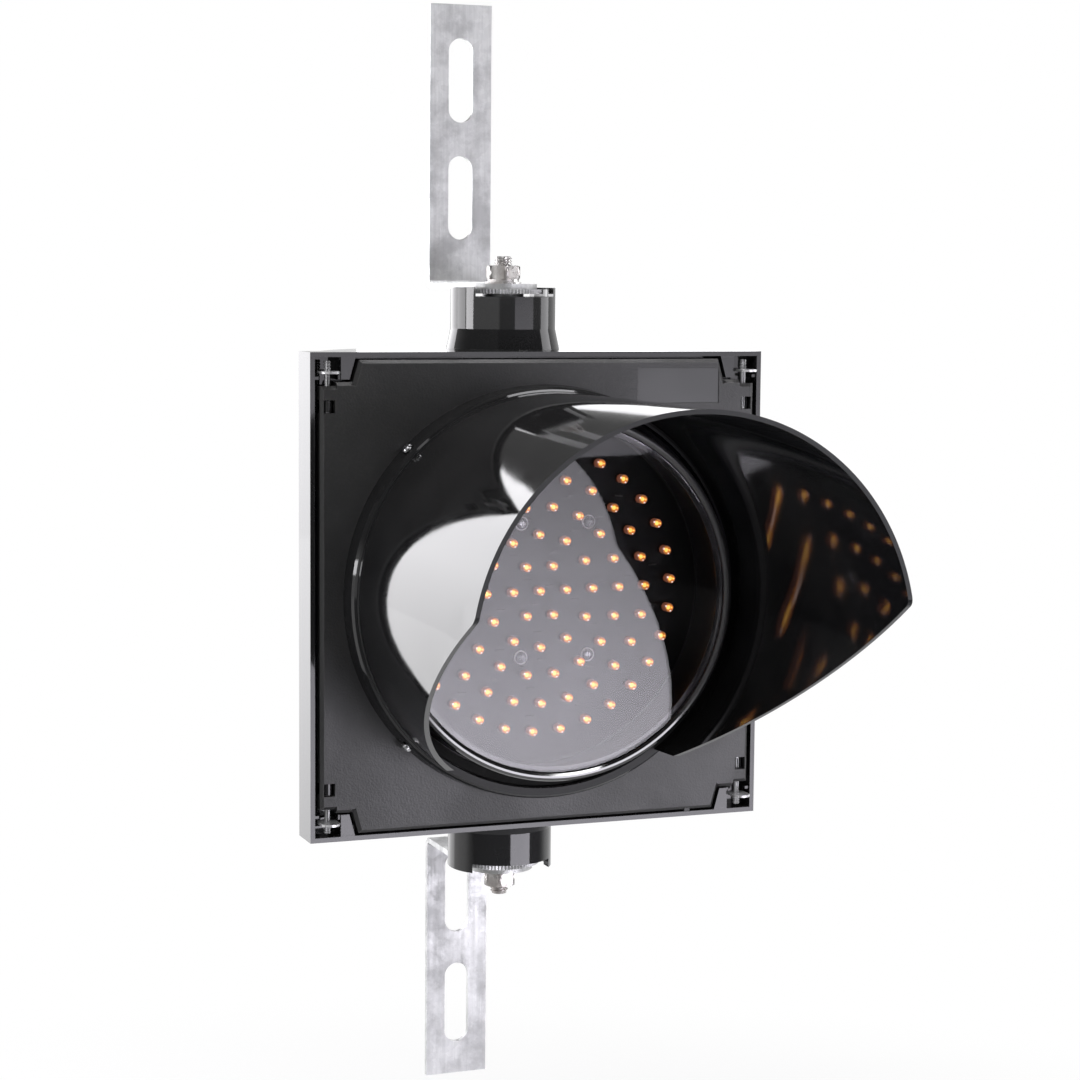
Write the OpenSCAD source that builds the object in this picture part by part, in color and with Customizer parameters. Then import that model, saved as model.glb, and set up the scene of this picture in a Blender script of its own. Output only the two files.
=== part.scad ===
/* [Housing] */
// Width and height of the square front
front_size = 255; // [240:1:300]
// Depth of the straight frame behind the front rim
frame_depth = 21.5; // [19:0.5:30]
// Depth from the front rim to the rearmost point of the curved back
body_depth = 95; // [92:1:120]
// Half width of the curved back where it leaves the frame
drum_half = 116; // [112:1:119]
// Wall thickness of the moulded shell
shell_wall = 3; // [2.5:0.1:4]
// Thickness of the rim that stands round the door
rim_wall = 2.5; // [2:0.1:3]
// Distance of the terminal block below the middle
block_drop = 60; // [45:1:75]
// Number of terminals
terminals = 5; // [3:1:7]
// Spacing of the terminals
terminal_pitch = 10; // [8:0.5:12]
// Depth of the door recess, from the rim to the sealing ledge
recess_depth = 12; // [11.5:0.5:14]
// Width of the sealing ledge
ledge_w = 18; // [17:0.5:20]
// Height of the wedge-shaped corner blocks inside the rim
corner_block_h = 11.6; // [10:0.1:12]
// Width of a corner block at its inner end
corner_block_w = 4.6; // [4:0.1:7]
// Gap between a corner block and the slanted side of the door's cut-out
corner_block_gap = 1.8; // [1.5:0.1:3]

/* [Necks] */
// Height of a neck above the housing
neck_h = 33.5; // [30:0.5:45]
// Outer radius of a neck
neck_r = 29; // [28:0.5:33]
// Inner radius of a neck
neck_bore_r = 25; // [24:0.5:27]
// Extra radius at the foot of a neck
neck_flare = 2.3; // [1:0.1:2.8]
// Height of the flared foot
neck_flare_h = 11; // [6:0.5:15]
// Free width on each side of the bracket in the notches of a neck's rim
notch_play = 4; // [4:0.1:5]
// Depth of the notches
notch_d = 5; // [3:0.5:7]
// Thickness of the floor that the pivot bolt passes through
neck_floor = 5; // [4:0.5:7]
// Distance from the front rim to the swivel axis
axis_to_front = 62; // [58:0.5:64]

/* [Door] */
// How far the door's face stands out of the rim
door_proud = 2; // [0:0.1:3]
// Gap between the door and the rim at the sides
gap_side = 2.5; // [2:0.1:3]
// Gap between the door and the rim at the top and bottom
gap_top = 1.5; // [1:0.1:2.5]
// Thickness of the door panel
door_t = 3; // [2.5:0.1:3.2]
// Depth of the door's turned-back edge
door_edge_d = 8; // [7:0.5:8]
// Thickness of the turned-back edge
door_edge_t = 2; // [1.5:0.1:2.5]
// Width of the bevel round the front of the door
door_bevel = 1.8; // [1:0.1:2.4]
// Height of the corner cut-outs beside the pins
cut_h = 13.4; // [13:0.1:16]
// Height of the step between the pin pocket and the rest of a cut-out
cut_step = 2.1; // [1:0.1:3]
// Width of the pin pocket in a cut-out
pocket_w = 8.7; // [8:0.1:10]
// Width of a corner cut-out at its inner edge
cut_w = 17.8; // [17:0.1:24]
// Extra width of a corner cut-out at the rim
cut_slope = 3.2; // [1:0.1:5]
// Distance of the label field's left edge from the middle of the door
field_x = 53.8; // [48:0.1:56]
// Distance of the label field below the top edge of the door
field_drop = 4.6; // [4:0.1:8]
// Width of the bare label field
field_w = 47.7; // [30:0.1:48]
// Height of the bare label field
field_h = 19.1; // [10:0.1:25]
// Depth of the label field
field_d = 0.5; // [0.3:0.1:0.8]
// Distance of the locating nib on the lower edge from the middle
nib_x = 85; // [70:1:95]
// Height of the raised spigot that carries the visor
spigot_h = 10; // [8:0.5:12]
// Wall thickness of the spigot
spigot_t = 5; // [3:0.5:5]

/* [Hinge] */
// Distance of the pins from the side of the housing
pin_edge = 9.7; // [9.5:0.1:10]
// Distance of the pins behind the door's face
pin_depth = 4.5; // [4.4:0.1:4.8]
// Radius of a pin
pin_r = 1.5; // [1.2:0.1:1.6]
// Running clearance round a pin
pin_clear = 0.05; // [0.02:0.01:0.08]
// Height of the window that shows the pin and its lug
window_h = 6.8; // [6:0.2:8]
// Width of the window
window_w = 6; // [5.8:0.1:6.8]
// Height of the door's knuckles above and below the window
knuckle_h = 7.1; // [5:0.1:8]
// Free height above the outer knuckle, up to the pin's finger lever
lever_rise = 6.5; // [6:0.1:8]
// Length of the finger lever
lever_len = 16; // [12:0.5:18]
// Width of the finger lever
lever_w = 10; // [8:0.5:11]
// Axial play of a lug between its knuckles
lug_play = 0.5; // [0.3:0.1:0.8]

/* [Visor] */
// Width of the collar, from the door's spigot to its outside
collar_w = 7.6; // [6.8:0.1:8.2]
// Depth of the collar
collar_d = 13; // [11:0.5:16]
// Width of the flat front band of the collar
band_w = 6; // [5:0.5:7]
// Step from the outside of the collar down to the hood
hood_step = 3.4; // [2.8:0.1:4.5]
// Extra radius of the hood at its front rim
hood_flare = 4.8; // [1:0.1:11]
// Wall thickness of the hood
hood_wall = 2.3; // [2.2:0.1:3.2]
// Distance of the hood's front rim from the door
hood_len = 201; // [150:1:240]
// Downward slope of the hood's axis in degrees
hood_droop = 1.4; // [0:0.1:3]
// Height of the hood's side tips above the lens axis
tip_rise = 14; // [0:1:30]
// Radius of the rounding at the hood's front corners
tip_round = 6; // [2:0.5:12]
// Distance from the door to the foot of the slanted cut
cut_foot = 35; // [28:1:60]
// Depth of that foot below the lens axis
cut_drop = 86; // [80:1:92]

/* [Lens unit] */
// Distance from the door's face to the lens edge
lens_out = 29; // [24:0.5:34]
// Radius of the clear lens
lens_r = 92; // [88:0.5:92.5]
// Thickness of the lens
lens_t = 2.5; // [2:0.1:4]
// Height of the lens dome
lens_dome = 2.5; // [1:0.5:12]
// Width of the rubber ring round the lens
gasket_w = 4.6; // [3:0.1:6]
// Wall thickness of the tube
tube_wall = 2.2; // [1.8:0.1:2.4]
// Depth of the tube behind the door's face
tube_back = 28; // [26:0.5:34]
// Width of the flange that seats on the back of the door
flange_w = 7.4; // [6.5:0.1:8.4]
// Thickness of the flange
flange_t = 3; // [2:0.5:4]
// Depth of the cooling dome on the back of the unit
dome_d = 20; // [10:1:28]
// Distance from the door's face back to the lamp board
board_depth = 10; // [8:0.5:12]
// Thickness of the lamp board
board_t = 1.6; // [1.2:0.1:2.4]
// Radius of one light-emitting diode
led_r = 2.5; // [1.5:0.1:3]
// Height of a diode above the board
led_h = 8.6; // [6:0.1:10]
// Spacing of the rings of diodes
led_pitch = 15.15; // [14:0.05:15.8]
// Number of rings round the middle diode
led_rings = 5; // [2:1:5]

/* [Brackets] */
// Distance from the swivel axis to the wall
axis_to_wall = 75; // [60:1:90]
// Width of a bracket
bracket_w = 37; // [34:0.5:38]
// Thickness of a bracket
bracket_t = 3; // [2.5:0.5:4]
// Inner bend radius of a bracket
bend_r = 2; // [1:0.5:4]
// Height of the upper bracket's leg
upper_leg = 161; // [158:1:200]
// Height of the lower bracket's leg
lower_leg = 143.5; // [142:0.5:180]
// Length of a wall slot
slot_len = 47.5; // [40:0.5:50]
// Width of a wall slot
slot_w = 14.5; // [10:0.5:16]
// Distance between the middles of the two slots of a bracket
slot_pitch = 66.5; // [60:0.5:75]
// Metal left between a slot and the end of the leg
slot_margin = 19; // [12:0.5:22]
// How far the bracket plate lies below the neck's rim
plate_sink = 1; // [0.5:0.1:1.5]
// Radius of the toothed lock disc under the plate
disc_r = 22; // [19:0.5:24]
// Thickness of the lock disc's toothed plate
disc_h = 2.4; // [1.8:0.2:3]
// Radius of the hub that carries the toothed plate
hub_r = 11.3; // [9:0.1:14]
// Height of the hub on the neck floor
hub_h = 5.6; // [4:0.1:7]
// Number of teeth on the lock disc
disc_teeth = 72; // [24:4:84]

/* [Fasteners] */
// Radius of the swivel bolts
bolt_r = 5; // [4:0.5:6]
// Clearance of the swivel bolts in the neck floors
bolt_clear = 0.05; // [0.02:0.01:0.08]
// Width across flats of the nuts and bolt heads
nut_af = 17; // [15:0.5:19]
// Height of a nut
nut_h = 7.5; // [6:0.5:9]
// Thread left standing beyond a nut
thread_end = 5; // [3:0.5:8]
// Radius of the small screws' shanks
screw_r = 1.6; // [1.2:0.1:2]
// Length of the lamp board's screws
board_screw_len = 9; // [7:0.5:10]
// Radius of the small screws' heads
screw_head_r = 3.1; // [2.6:0.1:3.4]
// Height of the small screws' heads
screw_head_h = 2; // [1.4:0.1:2.4]

/* [Hidden] */
$fn = 96;
eps = 0.01;
half = front_size / 2;
rim_in = half - rim_wall;
open_half = rim_in - ledge_w;
reach = axis_to_front + axis_to_wall;
plate_z = half + neck_h - plate_sink;
floor_z = plate_z - disc_h - hub_h;
upper_end = plate_z + upper_leg;
lower_end = plate_z + lower_leg;
mid_z = (upper_end - lower_end) / 2;
drum_d = body_depth - frame_depth;
drum_r = (drum_half * drum_half + drum_d * drum_d) / (2 * drum_d);
door_x = rim_in - gap_side;
door_z = rim_in - gap_top;
pin_x = half - pin_edge;
knuckle_top = door_z - cut_h;
window_top = knuckle_top - knuckle_h;
window_low = window_top - window_h;
knuckle_low = window_low - knuckle_h;
lever_z = knuckle_top + lever_rise;
lever_t = 1.2;
pin_top = lever_z + 6.5;
pin_y = pin_depth - door_proud;
notch_w = bracket_w + 2 * notch_play;
knuckle_half = window_w / 2;
lug_eye = knuckle_half - 0.3;
rib_in = 11;
rib_t = 2;
seal_t = 1.5;
seat_gap = 0.3;
rib_d = recess_depth + door_proud - seal_t - seat_gap;
seal_w = 5;
tube_r = lens_r + gasket_w;
flange_r = tube_r + flange_w;
spigot_in = tube_r + 0.9;
spigot_r = spigot_in + spigot_t;
collar_in = spigot_r + seat_gap;
collar_r = collar_in + collar_w;
hood_r0 = collar_r - hood_step;
hood_r1 = hood_r0 + hood_flare;
block_w = (terminals + 1) * terminal_pitch;
block_h = 16;
rail_x = block_w / 2 - 8;
rail_h = 8;
collar_draft = 1.2;
pad_len = 12;
screw_y = collar_d / 2;
board_r = tube_r - tube_wall - 1.5;
shelf_w = 4;
clip_w = 12;
clip_r = flange_r + 8;
clip_len = clip_r + clip_w / 2 - tube_r - 1.2;
clip_t = 2;
boss_r = 5;
plate_washer = 2.4;
hex_r = nut_af / 2 / cos(30);
screw_spots = [[-9, -36], [29.5, -36], [-9, 36], [29.5, 36]];

// Places shapes drawn from the middle of the front rim: X right, Y back, Z up
module at_front() {
    translate([0, -reach, -mid_z]) children();
}

// The same for shapes drawn from the middle of the door's face
module at_door() {
    at_front() translate([0, -door_proud, 0]) children();
}

// A solid whose side view is the given outline of [y, z] points
module side_prism(outline, width) {
    rotate([90, 0, 90])
        linear_extrude(width, center = true)
            polygon(outline);
}

// A shape of revolution about the lens axis, outline given as [radius, distance forward]
module about_lens(outline) {
    rotate([90, 0, 0]) rotate_extrude($fn = 180) polygon(outline);
}

// Repeats at the four corners by mirroring the upper left one
module four_corners() {
    for (mx = [0, 1]) for (mz = [0, 1])
        mirror([mx, 0, 0]) mirror([0, 0, mz]) children();
}

module top_and_bottom() {
    for (mz = [0, 1]) mirror([0, 0, mz]) children();
}

module around(angles) {
    for (a = angles) rotate([0, a, 0]) children();
}

// Plan of the housing: straight frame in front, a drum with a wide radius behind
module housing_plan(inset) {
    translate([-(half - inset), 0])
        square([2 * (half - inset), frame_depth - inset]);
    intersection() {
        translate([0, body_depth - drum_r]) circle(r = drum_r - inset, $fn = 240);
        translate([-(drum_half - inset), frame_depth - shell_wall - 1])
            square([2 * (drum_half - inset), body_depth]);
    }
}

module neck_outside() {
    rotate_extrude()
        polygon([[0, half - shell_wall / 2], [neck_r + neck_flare, half - shell_wall / 2],
            [neck_r + neck_flare, half], [neck_r, half + neck_flare_h],
            [neck_r, half + neck_h], [0, half + neck_h]]);
}

// One housing corner: the block that fills the door's cut-out, its foot, and a shelf on the rim
module corner_block() {
    inner = door_x - cut_w + corner_block_gap;
    outer = inner + corner_block_w;
    low = rim_in - corner_block_h;
    foot = pin_x - lever_w / 2 - 0.5;
    translate([0, recess_depth + eps, 0]) rotate([90, 0, 0]) {
        linear_extrude(recess_depth + eps)
            polygon([[-inner, low], [-outer, low], [-outer, rim_in + eps],
                [-inner + cut_slope, rim_in + eps]]);
        linear_extrude(recess_depth - 1)
            polygon([[-outer + 1, low], [-foot, low], [-foot, low + 2.6], [-outer + 1, low + 2.6]]);
    }
    translate([-rim_in - eps, 1.2, low]) cube([2.4, recess_depth - 1.2 + eps, 1.5]);
}

module lug(open_front) {
    lug_h = window_h - 2 * lug_play;
    translate([-pin_x, pin_y, window_low + lug_play])
        difference() {
            union() {
                cylinder(r = lug_eye, h = lug_h, $fn = 48);
                cube([lug_eye, recess_depth - pin_y + eps, lug_h]);
            }
            translate([0, 0, -1]) cylinder(r = pin_r + pin_clear, h = lug_h + 2, $fn = 48);
            if (open_front)
                translate([-pin_r - pin_clear, -lug_eye - 1, -1])
                    cube([2 * (pin_r + pin_clear), lug_eye + 1, lug_h + 2]);
        }
}

// The whole moulding; its end plates with the necks and the body between them are drawn apart
module housing_moulding(room_half) {
    difference() {
        union() {
            difference() {
                linear_extrude(front_size, center = true) housing_plan(0);
                // room behind the sealing ledge
                intersection() {
                    linear_extrude(2 * room_half, center = true) housing_plan(shell_wall);
                    translate([-half, recess_depth + shell_wall, -half])
                        cube([front_size, body_depth, front_size]);
                }
                // recess that the door lies in
                translate([-rim_in, -1, -rim_in]) cube([2 * rim_in, recess_depth + 1, 2 * rim_in]);
                // opening inside the ledge
                translate([-open_half, -1, -open_half])
                    cube([2 * open_half, recess_depth + shell_wall + 2, 2 * open_half]);
            }
            translate([0, axis_to_front, 0]) top_and_bottom() neck_outside();
            four_corners() corner_block();
            top_and_bottom() lug(false);
            mirror([1, 0, 0]) top_and_bottom() lug(true);
            // bosses for the terminal block, ending inside the curved wall
            intersection() {
                for (s = [-1, 1]) translate([s * rail_x, body_depth - shell_wall - rail_h, -block_drop])
                    rotate([-90, 0, 0]) cylinder(r = 4, h = rail_h + shell_wall, $fn = 32);
                linear_extrude(front_size - 20, center = true) housing_plan(shell_wall / 2);
            }
        }
        translate([0, axis_to_front, 0]) top_and_bottom() {
            translate([0, 0, floor_z]) cylinder(r = neck_bore_r, h = neck_h);
            translate([0, 0, half - shell_wall - 1])
                cylinder(r = neck_bore_r, h = floor_z - neck_floor - half + shell_wall + 1);
            translate([0, 0, half]) cylinder(r = bolt_r + bolt_clear, h = neck_h, $fn = 64);
            translate([-notch_w / 2, -neck_r - 5, half + neck_h - notch_d])
                cube([notch_w, 2 * neck_r + 10, notch_d + 1]);
        }
    }
}

module housing_shell() {
    color([0.05, 0.05, 0.055]) at_front() intersection() {
        housing_moulding(half - shell_wall / 2);
        translate([-half - 1, -1, -half + shell_wall])
            cube([front_size + 2, body_depth + 2, front_size - 2 * shell_wall]);
    }
}

module end_plate() {
    intersection() {
        housing_moulding(half - 2 * shell_wall);
        translate([-half - 1, -1, half - shell_wall])
            cube([front_size + 2, body_depth + 2, neck_h + shell_wall + 1]);
    }
}

module upper_neck() {
    color([0.05, 0.05, 0.055]) at_front() end_plate();
}

module lower_neck() {
    color([0.05, 0.05, 0.055]) at_front() mirror([0, 0, 1]) end_plate();
}

module frame_ring(outer, width, y0, thick) {
    difference() {
        translate([-outer, y0, -outer]) cube([2 * outer, thick, 2 * outer]);
        translate([-outer + width, y0 - 1, -outer + width])
            cube([2 * (outer - width), thick + 2, 2 * (outer - width)]);
    }
}

module door_seal() {
    color([0.03, 0.03, 0.03]) at_front()
        frame_ring(rim_in - ledge_w + seal_w + 1, seal_w, recess_depth - seal_t, seal_t);
}

// Vertical split pin with a finger lever and a beaded head
module pin() {
    translate([-pin_x, pin_depth, 0]) difference() {
        union() {
            translate([0, 0, knuckle_low + 0.5])
                cylinder(r = pin_r, h = pin_top - knuckle_low - 0.5, $fn = 48);
            translate([0, 0, lever_z]) {
                cylinder(r = lever_w / 2, h = lever_t, $fn = 48);
                translate([0, lever_w - lever_len, 0]) cylinder(r = lever_w / 2, h = lever_t, $fn = 48);
                translate([-lever_w / 2, lever_w - lever_len, 0])
                    cube([lever_w, lever_len - lever_w, lever_t]);
            }
            // three beads of the head
            for (k = [0:2]) translate([0, 0, pin_top - 1.6 * (k + 1)]) {
                cylinder(r1 = pin_r - eps, r2 = pin_r + 0.5, h = 0.8, $fn = 48);
                translate([0, 0, 0.8 - eps]) cylinder(r1 = pin_r + 0.5, r2 = pin_r - eps, h = 0.8, $fn = 48);
            }
        }
        // the split between its two legs
        translate([-0.3, -4, window_low + 1]) cube([0.6, 8, pin_top - window_low]);
    }
}

module hinge_pins() {
    color([0.7, 0.7, 0.72]) at_door() top_and_bottom() pin();
}

module latch_pins() {
    color([0.7, 0.7, 0.72]) at_door() mirror([1, 0, 0]) top_and_bottom() pin();
}

module along_block() {
    for (i = [0:terminals - 1]) translate([(i - (terminals - 1) / 2) * terminal_pitch, 0, 0])
        children();
}

module terminal_block() {
    color([0.75, 0.74, 0.7]) at_front()
        translate([0, body_depth - shell_wall - rail_h, -block_drop]) difference() {
            union() {
                translate([-block_w / 2, -3, -block_h / 2]) cube([block_w, 3, block_h]);
                along_block() translate([0.6 - terminal_pitch / 2, -17, -block_h / 2])
                    cube([terminal_pitch - 1.2, 14 + eps, block_h]);
            }
            along_block() translate([0, -18, 0])
                rotate([-90, 0, 0]) cylinder(r = screw_head_r, h = 6, $fn = 32);
            along_block() for (s = [-1, 1]) translate([0, -9, s * block_h / 2])
                cylinder(r = 2, h = 8, center = true, $fn = 24);
        }
}

module terminal_screws() {
    color([0.8, 0.8, 0.82]) at_front()
        translate([0, body_depth - shell_wall - rail_h - 12, -block_drop])
            along_block() rotate([90, 0, 0]) difference() {
                cylinder(r = screw_head_r - 0.2, h = screw_head_h, $fn = 32);
                translate([-4, -0.4, screw_head_h - 0.8]) cube([8, 0.8, 1]);
            }
}

// Outline of the door seen from the front, drawn inset from its edge
module door_outline(inset) {
    x0 = door_x - inset;
    z0 = door_z - inset;
    zc = door_z - cut_h - inset;
    xp = door_x - pocket_w - inset;
    zp = zc + cut_step;
    xa = door_x - cut_w - inset;
    xb = door_x - cut_w - cut_slope - inset;
    polygon([[x0, zc], [xp, zc], [xp, zp], [xa, zp], [xb, z0],
        [-xb, z0], [-xa, zp], [-xp, zp], [-xp, zc], [-x0, zc],
        [-x0, -zc], [-xp, -zc], [-xp, -zp], [-xa, -zp], [-xb, -z0],
        [xb, -z0], [xa, -zp], [xp, -zp], [xp, -zc], [x0, -zc]]);
}

module door_plate(inset, y0, thick) {
    translate([0, y0 + thick, 0]) rotate([90, 0, 0])
        linear_extrude(thick) door_outline(inset);
}

// Block with its four front edges bevelled
module bevelled_front(x, z, depth) {
    b = door_bevel;
    intersection() {
        side_prism([[0, z - b], [b, z], [depth, z], [depth, -z], [b, -z], [0, b - z]], 2 * x + 2);
        linear_extrude(2 * z + 2, center = true)
            polygon([[x - b, 0], [x, b], [x, depth], [-x, depth], [-x, b], [b - x, 0]]);
    }
}

// Bevels along the edges of the upper left cut-out
module cut_bevels() {
    side = door_bevel * sqrt(2);
    xa = door_x - cut_w;
    translate([-door_x - 1, 0, knuckle_top]) rotate([45, 0, 0]) translate([0, -side / 2, -side / 2])
        cube([pocket_w + 1, side, side]);
    translate([-door_x + pocket_w - door_bevel, 0, knuckle_top + cut_step]) rotate([45, 0, 0])
        translate([0, -side / 2, -side / 2]) cube([cut_w - pocket_w + door_bevel, side, side]);
    translate([-xa, 0, knuckle_top + cut_step])
        rotate([0, atan2(cut_slope, cut_h - cut_step), 0]) translate([0, 0, -door_bevel])
            linear_extrude(cut_h + door_bevel) rotate(45) square(side, center = true);
}

module door() {
    rib_x = door_x - rib_in;
    color([0.09, 0.09, 0.095]) at_door() difference() {
        union() {
            intersection() {
                difference() {
                    door_plate(0, 0, door_edge_d);
                    door_plate(door_edge_t, door_t, door_edge_d);
                }
                bevelled_front(door_x, door_z, door_edge_d);
            }
            frame_ring(rib_x, rib_t, door_t - eps, rib_d - door_t + eps);
            // knuckles on both sides of each window
            four_corners() for (z = [window_top, knuckle_low])
                translate([-pin_x - knuckle_half, door_t - eps, z])
                    cube([2 * knuckle_half, door_edge_d - door_t, knuckle_h]);
            about_lens([[spigot_in, -door_t], [spigot_r, -door_t],
                [spigot_r, spigot_h], [spigot_in, spigot_h]]);
            around([45, 135, 225, 315]) translate([clip_r, door_t - eps, 0])
                rotate([-90, 0, 0]) cylinder(r = boss_r, h = flange_t + eps, $fn = 32);
            // locating nib on the lower edge
            translate([nib_x, 1, -door_z - 1]) cube([3, door_edge_d - 2, 1 + door_edge_t]);
        }
        about_lens([[0, -rib_d - 1], [spigot_in, -rib_d - 1], [spigot_in, spigot_h + 1],
            [0, spigot_h + 1]]);
        four_corners() {
            cut_bevels();
            // window and the relief in the turned-back edge that clears the lug
            translate([-pin_x - window_w / 2, -1, window_low]) cube([window_w, 20, window_h]);
            translate([-door_x - 1, door_t, window_low]) cube([6, 20, window_h]);
            translate([-pin_x, pin_depth, knuckle_low - 1])
                cylinder(r = pin_r + pin_clear, h = cut_h + 3 * knuckle_h, $fn = 48);
        }
        around([45, 135, 225, 315]) {
            translate([spigot_in - 2, -screw_y, 0]) rotate([0, 90, 0])
                cylinder(r = screw_r + 0.1, h = spigot_t + 4, $fn = 32);
            translate([clip_r, door_t + 0.5, 0]) rotate([-90, 0, 0])
                cylinder(r = screw_r, h = 20, $fn = 32);
        }
        translate([field_x, -1, door_z - field_drop - field_h])
            cube([field_w, 1 + field_d, field_h]);
    }
}

module hood_cone(r0, r1, overlap) {
    slope = (r1 - r0) / (hood_len - collar_d);
    translate([0, -collar_d, 0]) rotate([hood_droop, 0, 0]) rotate([90, 0, 0])
        translate([0, 0, -overlap])
            cylinder(r1 = r0 - slope * overlap, r2 = r1 + slope * overlap,
                h = hood_len - collar_d + 2 * overlap, $fn = 180);
}

// Moulded visor: collar over the door's spigot and a long hood cut back at the sides
module visor() {
    foot = [-cut_foot, -cut_drop];
    cut_slant = 90 - atan2(tip_rise + cut_drop, hood_len - cut_foot);
    tip_mid = [tip_round - hood_len, tip_rise + tip_round * tan(cut_slant / 2)];
    color([0.04, 0.04, 0.045]) at_door() difference() {
        union() {
            difference() {
                about_lens([[collar_in, 0], [collar_r, 0], [collar_r - collar_draft, collar_d - 3],
                    [collar_r - collar_draft - 1, collar_d - 1], [collar_r - collar_draft - 2, collar_d],
                    [collar_r - band_w - 1, collar_d], [collar_in, collar_d - 1]]);
                difference() {
                    about_lens([[collar_in + 2, -1], [collar_r - 2.6, -1], [collar_r - 3.2, collar_d - 3],
                        [collar_in + 2, collar_d - 3]]);
                    around([45, 135, 225, 315]) translate([collar_in, -collar_d, -pad_len / 2])
                        cube([12, collar_d + 2, pad_len]);
                }
            }
            intersection() {
                difference() {
                    hood_cone(hood_r0, hood_r1, 8);
                    hood_cone(hood_r0 - hood_wall, hood_r1 - hood_wall, 12);
                }
                side_prism(concat([[-collar_d + 1, 200], [-hood_len, 200]],
                    [for (k = [0:4]) let (a = 180 + k * cut_slant / 4)
                        tip_mid + tip_round * [cos(a), sin(a)]],
                    [foot, [-collar_d, -cut_drop], [-collar_d + 1, -cut_drop]]), 400);
            }
        }
        around([45, 135, 225, 315]) translate([collar_in - 2, -screw_y, 0]) rotate([0, 90, 0])
            cylinder(r = screw_r + 0.1, h = 20, $fn = 32);
    }
}

// Pan-head screw along +Z, the head's seat at the origin
module pan_screw(length) {
    translate([0, 0, -length]) cylinder(r = screw_r, h = length + eps, $fn = 32);
    difference() {
        rotate_extrude($fn = 48)
            polygon([[0, 0], [screw_head_r, 0], [screw_head_r, screw_head_h * 0.45],
                [screw_head_r * 0.8, screw_head_h * 0.85], [screw_head_r * 0.45, screw_head_h],
                [0, screw_head_h]]);
        for (a = [0, 90]) rotate([0, 0, a])
            translate([-screw_head_r * 0.55, -0.35, screw_head_h - 1.1])
                cube([screw_head_r * 1.1, 0.7, 2]);
    }
}

module visor_screws() {
    color([0.8, 0.8, 0.82]) at_door() around([45, 135, 225, 315])
        translate([collar_r - collar_draft * (screw_y - screw_head_r) / (collar_d - 3) + 0.05, -screw_y, 0])
            rotate([0, 90, 0]) pan_screw(collar_r - spigot_in - 1.5);
}

module lens() {
    dome_r = (lens_r * lens_r + lens_dome * lens_dome) / (2 * lens_dome);
    color([0.8, 0.82, 0.85, 0.3]) at_door() translate([0, -lens_out + lens_t, 0]) rotate([90, 0, 0]) {
        intersection() {
            difference() {
                translate([0, 0, lens_t + lens_dome - dome_r]) sphere(r = dome_r, $fn = 240);
                translate([0, 0, lens_dome - dome_r]) sphere(r = dome_r, $fn = 240);
            }
            cylinder(r = lens_r - seat_gap, h = lens_t + lens_dome + 1, $fn = 180);
        }
    }
}

module lens_gasket() {
    y1 = lens_out + 1.6;
    color([0.03, 0.03, 0.03]) at_door()
        about_lens([[lens_r, lens_out - lens_t], [tube_r, lens_out - lens_t], [tube_r, y1 - 1.4],
            [tube_r - 0.5, y1 - 0.5], [tube_r - gasket_w * 0.4, y1], [lens_r + gasket_w * 0.35, y1],
            [lens_r + 0.4, y1 - 0.6], [lens_r, y1 - 1.6]]);
}

// Cup of the lens unit: tube, door flange, board shelf, screw posts and cooling dome
module unit_shell() {
    seat = lens_out - lens_t;
    shelf = board_depth + board_t;
    back = tube_back;
    color([0.05, 0.05, 0.05]) at_door() {
        about_lens([[lens_r - 3, seat - 2], [lens_r - 3, seat], [tube_r, seat],
            [tube_r, -door_t], [flange_r, -door_t], [flange_r, -door_t - flange_t],
            [tube_r, -door_t - flange_t], [tube_r, -back], [tube_r * 0.72, -back - dome_d * 0.35],
            [tube_r * 0.6, -back - dome_d], [0, -back - dome_d], [0, -back - dome_d + tube_wall],
            [tube_r * 0.58, -back - dome_d + tube_wall], [tube_r * 0.7, -back - dome_d * 0.35 + tube_wall],
            [tube_r - tube_wall, -back + tube_wall], [tube_r - tube_wall, -shelf - 2],
            [tube_r - tube_wall - shelf_w, -shelf - 2], [tube_r - tube_wall - shelf_w, -shelf],
            [tube_r - tube_wall, -shelf], [tube_r - tube_wall, seat - 2]]);
        for (p = screw_spots) translate([p[0], shelf, p[1]])
            rotate([-90, 0, 0]) difference() {
                cylinder(r = 3.4, h = back + dome_d - tube_wall - shelf + 0.5, $fn = 32);
                translate([0, 0, -1]) cylinder(r = screw_r, h = 11, $fn = 32);
            }
    }
}

module lamp_board() {
    color([0.06, 0.06, 0.065]) at_door() translate([0, board_depth, 0]) rotate([-90, 0, 0])
        difference() {
            cylinder(r = board_r, h = board_t, $fn = 180);
            for (p = screw_spots) translate([p[0], -p[1], -1])
                cylinder(r = screw_r + 0.2, h = board_t + 2, $fn = 32);
        }
}

// Diodes stand in rings of 1, 6, 12, 18, 24 and 30
module diodes() {
    color([1, 0.6, 0.15]) at_door() translate([0, board_depth, 0]) rotate([90, 0, 0])
        for (k = [0:led_rings]) for (i = [0:max(1, 6 * k) - 1]) {
            a = (k == led_rings ? 3.2 : 1) + i * 360 / max(1, 6 * k);
            translate([k * led_pitch * cos(a), k * led_pitch * sin(a), 0]) {
                cylinder(r = led_r + 0.4, h = 1, $fn = 24);
                cylinder(r = led_r, h = led_h - led_r, $fn = 24);
                translate([0, 0, led_h - led_r]) sphere(r = led_r, $fn = 24);
            }
        }
}

module board_screws() {
    color([0.7, 0.7, 0.72]) at_door() for (p = screw_spots)
        translate([p[0], board_depth, p[1]]) rotate([90, 0, 0]) pan_screw(board_screw_len);
}

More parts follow.
